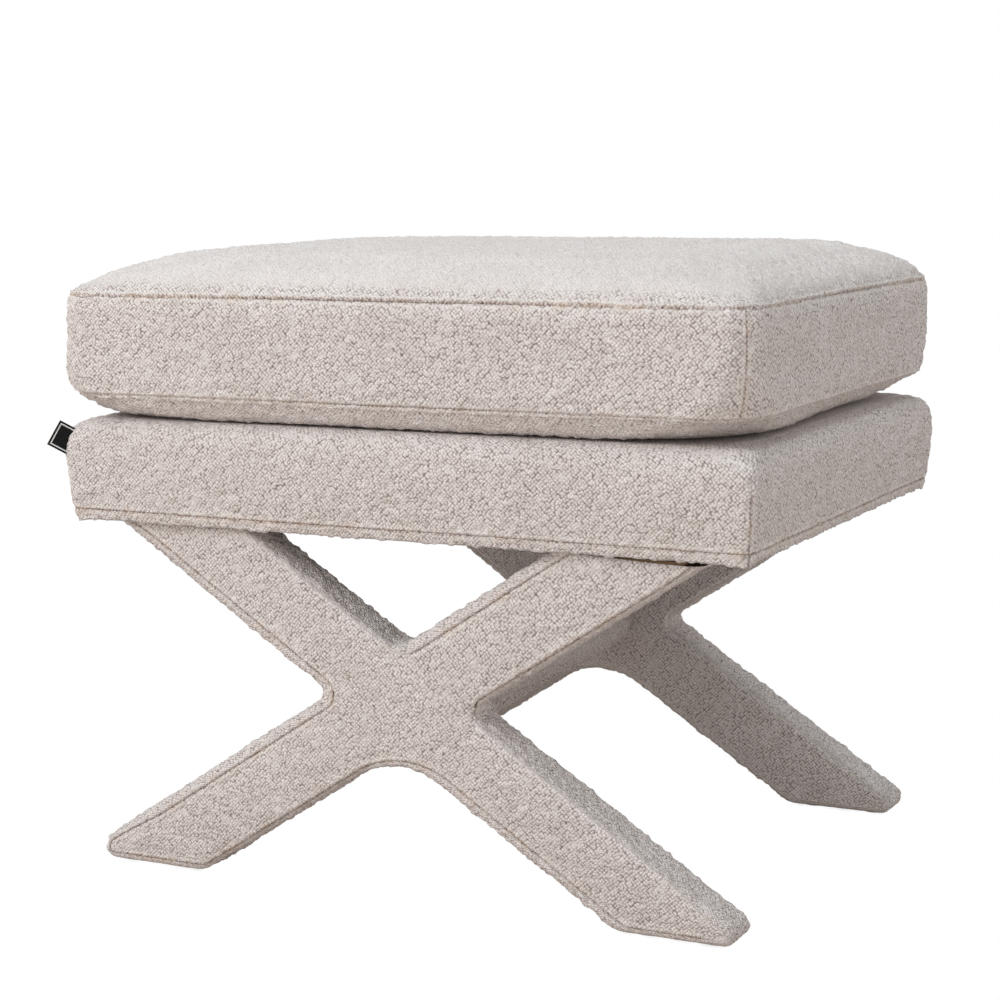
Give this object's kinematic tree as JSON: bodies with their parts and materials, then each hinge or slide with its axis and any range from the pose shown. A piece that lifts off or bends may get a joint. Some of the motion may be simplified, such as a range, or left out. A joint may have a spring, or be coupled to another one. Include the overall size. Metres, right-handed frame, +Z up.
{
  "type": "stool",
  "caption": "Upholstered cross-leg stool: two padded X frames joined by a padded stretcher carry a padded seat deck with a loose boxed cushion on it.",
  "frame": {"origin": "on the floor under the middle of the stool", "axes": "+Z up, +X along the length to the right as seen from the front, -Y towards the front; the tag is on the front left corner"},
  "size_m": [0.6103, 0.4772, 0.5137],
  "materials": {
    "boucle": "matte",
    "wadding": "matte",
    "foam": "matte",
    "hardwood": "matte",
    "plywood": "matte",
    "steel": "satin",
    "glide_nylon": "satin",
    "underlining": "matte",
    "tag_cloth": "matte",
    "zip_tape": "matte",
    "zip_nylon": "satin",
    "zip_metal": "satin"
  },
  "bodies": {
    "base": {"front_rising_board": "hardwood", "front_falling_board": "hardwood", "front_wadding": "wadding", "front_edge_band": "boucle", "front_outer_panel": "boucle", "front_inner_panel": "boucle", "rear_rising_board": "hardwood", "rear_falling_board": "hardwood", "rear_wadding": "wadding", "rear_edge_band": "boucle", "rear_outer_panel": "boucle", "rear_inner_panel": "boucle", "stretcher_core": "hardwood", "stretcher_wadding": "wadding", "stretcher_cover": "boucle", "stretcher_bolts": "steel", "stretcher_barrel_nuts": "steel", "stretcher_dowels": "hardwood", "glide_caps": "glide_nylon", "glide_nails": "steel", "hanger_bolts": "steel", "threaded_inserts": "steel", "deck_rail_front": "hardwood", "deck_rail_rear": "hardwood", "deck_rail_left": "hardwood", "deck_rail_right": "hardwood", "corner_blocks": "hardwood", "corner_block_screws": "steel", "rail_screws": "steel", "panel_screws": "steel", "deck_bearer": "hardwood", "deck_panel": "plywood", "deck_foam": "foam", "deck_side_padding": "foam", "deck_cover": "boucle", "deck_bottom_band": "boucle", "dust_cover": "underlining", "dust_cover_staples": "steel", "tag": "tag_cloth"},
    "cushion": {"cushion_foam": "foam", "cushion_fibre_top": "wadding", "cushion_fibre_bottom": "wadding", "cushion_top_panel": "boucle", "cushion_bottom_panel": "boucle", "cushion_boxing_front": "boucle", "cushion_boxing_left": "boucle", "cushion_boxing_right": "boucle", "cushion_boxing_rear_lower": "boucle", "cushion_boxing_rear_upper": "boucle", "cushion_top_welt": "boucle", "cushion_bottom_welt": "boucle", "zip_tapes": "zip_tape", "zip_coils": "zip_nylon", "zip_stops": "zip_metal"},
    "slider": {"zip_slider": "zip_metal"},
    "pull": {"zip_pull": "zip_metal"}
  },
  "joints": [
    {"name": "cushion_lift", "type": "slide", "parent": "base", "child": "cushion", "axis": [0, 0, 1], "range_m": [0, 0.12]},
    {"name": "zip_travel", "type": "slide", "parent": "cushion", "child": "slider", "axis": [1, 0, 0], "range_m": [0, 0.4546]},
    {"name": "pull_swing", "type": "hinge", "parent": "slider", "child": "pull", "pos_m": [-0.2273, 0.23655, 0.43825], "axis": [1, 0, 0], "range_deg": [0, 150]}
  ]
}
